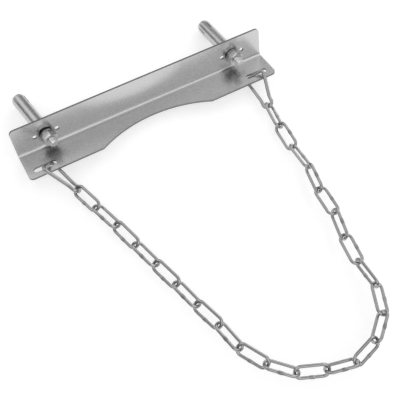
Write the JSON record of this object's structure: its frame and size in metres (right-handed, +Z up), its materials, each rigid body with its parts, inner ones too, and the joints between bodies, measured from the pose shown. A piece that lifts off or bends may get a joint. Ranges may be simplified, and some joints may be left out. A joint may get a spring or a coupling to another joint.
{
  "type": "gas cylinder bracket",
  "caption": "Folded steel wall bracket with an arc for a gas cylinder, two expansion anchors and a safety chain of long links.",
  "frame": {"origin": "on the wall face, at mid-length, level with the anchor and screw holes", "axes": "+X along the plate to the right, +Y into the wall, +Z up; the flange and the chain point to the front, -Y"},
  "size_m": [0.265, 0.3677, 0.1133],
  "materials": {
    "sheet_steel": "satin, brushed along the plate",
    "anchor_steel": "bright zinc",
    "nut_steel": "bright zinc",
    "chain_steel": "bright drawn wire"
  },
  "bodies": {
    "bracket": {"bracket_plate": "sheet_steel", "left_anchor_stud": "anchor_steel", "left_anchor_sleeve": "anchor_steel", "left_flat_washer": "nut_steel", "left_spring_washer": "nut_steel", "left_hex_nut": "nut_steel", "right_anchor_stud": "anchor_steel", "right_anchor_sleeve": "anchor_steel", "right_flat_washer": "nut_steel", "right_spring_washer": "nut_steel", "right_hex_nut": "nut_steel"},
    "left_end": {"left_end_link": "chain_steel"},
    "right_end": {"right_end_link": "chain_steel"},
    "link_01": {"chain_link_01": "chain_steel"},
    "link_02": {"chain_link_02": "chain_steel"},
    "link_03": {"chain_link_03": "chain_steel"},
    "link_04": {"chain_link_04": "chain_steel"},
    "link_05": {"chain_link_05": "chain_steel"},
    "link_06": {"chain_link_06": "chain_steel"},
    "link_07": {"chain_link_07": "chain_steel"},
    "link_08": {"chain_link_08": "chain_steel"},
    "link_09": {"chain_link_09": "chain_steel"},
    "link_10": {"chain_link_10": "chain_steel"},
    "link_11": {"chain_link_11": "chain_steel"},
    "link_12": {"chain_link_12": "chain_steel"},
    "link_13": {"chain_link_13": "chain_steel"},
    "link_14": {"chain_link_14": "chain_steel"},
    "link_15": {"chain_link_15": "chain_steel"},
    "link_16": {"chain_link_16": "chain_steel"},
    "link_17": {"chain_link_17": "chain_steel"},
    "link_18": {"chain_link_18": "chain_steel"},
    "link_19": {"chain_link_19": "chain_steel"},
    "link_20": {"chain_link_20": "chain_steel"},
    "link_21": {"chain_link_21": "chain_steel"},
    "link_22": {"chain_link_22": "chain_steel"},
    "link_23": {"chain_link_23": "chain_steel"}
  },
  "joints": [
    {"name": "chain_swing", "type": "hinge", "parent": "bracket", "child": "left_end", "pos_m": [0, -0.028, -0.0165], "axis": [1, 0, 0], "range_deg": [-14, 2]},
    {"name": "right_end_swing", "type": "hinge", "parent": "bracket", "child": "right_end", "pos_m": [0, -0.028, -0.0165], "axis": [1, 0, 0], "range_deg": [-14, 2]},
    {"name": "link_01_roll", "type": "hinge", "parent": "left_end", "child": "link_01", "pos_m": [-0.09398, -0.07021, -0.03088], "axis": [0.309, -0.9228, -0.2301], "range_deg": [-10, 10]},
    {"name": "link_02_roll", "type": "hinge", "parent": "left_end", "child": "link_02", "pos_m": [-0.08595, -0.0942, -0.03687], "axis": [0.309, -0.9228, -0.2301], "range_deg": [-10, 10]},
    {"name": "link_03_roll", "type": "hinge", "parent": "left_end", "child": "link_03", "pos_m": [-0.07835, -0.11833, -0.04288], "axis": [0.2756, -0.9327, -0.2326], "range_deg": [-10, 10]},
    {"name": "link_04_roll", "type": "hinge", "parent": "left_end", "child": "link_04", "pos_m": [-0.07118, -0.14258, -0.04893], "axis": [0.2756, -0.9327, -0.2326], "range_deg": [-10, 10]},
    {"name": "link_05_roll", "type": "hinge", "parent": "left_end", "child": "link_05", "pos_m": [-0.0638, -0.16676, -0.05496], "axis": [0.2924, -0.9279, -0.2314], "range_deg": [-10, 10]},
    {"name": "link_06_roll", "type": "hinge", "parent": "left_end", "child": "link_06", "pos_m": [-0.05663, -0.19101, -0.061], "axis": [0.2588, -0.9372, -0.2337], "range_deg": [-10, 10]},
    {"name": "link_07_roll", "type": "hinge", "parent": "left_end", "child": "link_07", "pos_m": [-0.04925, -0.21519, -0.06703], "axis": [0.309, -0.9228, -0.2301], "range_deg": [-10, 10]},
    {"name": "link_08_roll", "type": "hinge", "parent": "left_end", "child": "link_08", "pos_m": [-0.04253, -0.23953, -0.0731], "axis": [0.2079, -0.9491, -0.2366], "range_deg": [-6, 6]},
    {"name": "link_09_roll", "type": "hinge", "parent": "left_end", "child": "link_09", "pos_m": [-0.03333, -0.26279, -0.0789], "axis": [0.5, -0.8403, -0.2095], "range_deg": [-6, 6]},
    {"name": "link_10_roll", "type": "hinge", "parent": "left_end", "child": "link_10", "pos_m": [-0.01763, -0.28263, -0.08385], "axis": [0.7071, -0.6861, -0.1711], "range_deg": [-4, 4]},
    {"name": "link_11_roll", "type": "hinge", "parent": "left_end", "child": "link_11", "pos_m": [0.00352, -0.29648, -0.0873], "axis": [0.9205, -0.3791, -0.0945], "range_deg": [-4, 4]},
    {"name": "link_12_roll", "type": "hinge", "parent": "left_end", "child": "link_12", "pos_m": [0.02811, -0.30446, -0.08929], "axis": [0.9703, -0.2347, -0.0585], "range_deg": [-4, 4]},
    {"name": "link_13_roll", "type": "hinge", "parent": "left_end", "child": "link_13", "pos_m": [0.05321, -0.30403, -0.08918], "axis": [0.9613, 0.2674, 0.0667], "range_deg": [-4, 4]},
    {"name": "link_14_roll", "type": "hinge", "parent": "left_end", "child": "link_14", "pos_m": [0.07552, -0.29228, -0.08625], "axis": [0.7547, 0.6366, 0.1587], "range_deg": [-3, 3]},
    {"name": "link_15_roll", "type": "hinge", "parent": "left_end", "child": "link_15", "pos_m": [0.08999, -0.27223, -0.08125], "axis": [0.3584, 0.9058, 0.2259], "range_deg": [-2, 2]},
    {"name": "link_16_roll", "type": "hinge", "parent": "left_end", "child": "link_16", "pos_m": [0.09374, -0.24787, -0.07518], "axis": [-0.0698, 0.9679, 0.2413], "range_deg": [-2, 2]},
    {"name": "link_17_roll", "type": "hinge", "parent": "left_end", "child": "link_17", "pos_m": [0.0942, -0.22274, -0.06891], "axis": [0.1045, 0.965, 0.2406], "range_deg": [-8, 8]},
    {"name": "link_18_roll", "type": "hinge", "parent": "left_end", "child": "link_18", "pos_m": [0.09826, -0.19786, -0.06271], "axis": [0.2079, 0.9491, 0.2366], "range_deg": [-8, 8]},
    {"name": "link_19_roll", "type": "hinge", "parent": "left_end", "child": "link_19", "pos_m": [0.10119, -0.17291, -0.05649], "axis": [0.0175, 0.9701, 0.2419], "range_deg": [-8, 8]},
    {"name": "link_20_roll", "type": "hinge", "parent": "left_end", "child": "link_20", "pos_m": [0.10345, -0.14784, -0.05024], "axis": [0.1564, 0.9583, 0.2389], "range_deg": [-6, 6]},
    {"name": "link_21_roll", "type": "hinge", "parent": "left_end", "child": "link_21", "pos_m": [0.10458, -0.1228, -0.04399], "axis": [-0.0698, 0.9679, 0.2413], "range_deg": [-6, 6]},
    {"name": "link_22_roll", "type": "hinge", "parent": "left_end", "child": "link_22", "pos_m": [0.10412, -0.09761, -0.03771], "axis": [0.0349, 0.9697, 0.2418], "range_deg": [-10, 10]},
    {"name": "link_23_roll", "type": "hinge", "parent": "left_end", "child": "link_23", "pos_m": [0.10594, -0.07246, -0.03144], "axis": [0.1045, 0.965, 0.2406], "range_deg": [-10, 10]}
  ],
  "couplings": [
    {"joint": "right_end_swing", "follows": "chain_swing", "ratio": 1}
  ]
}
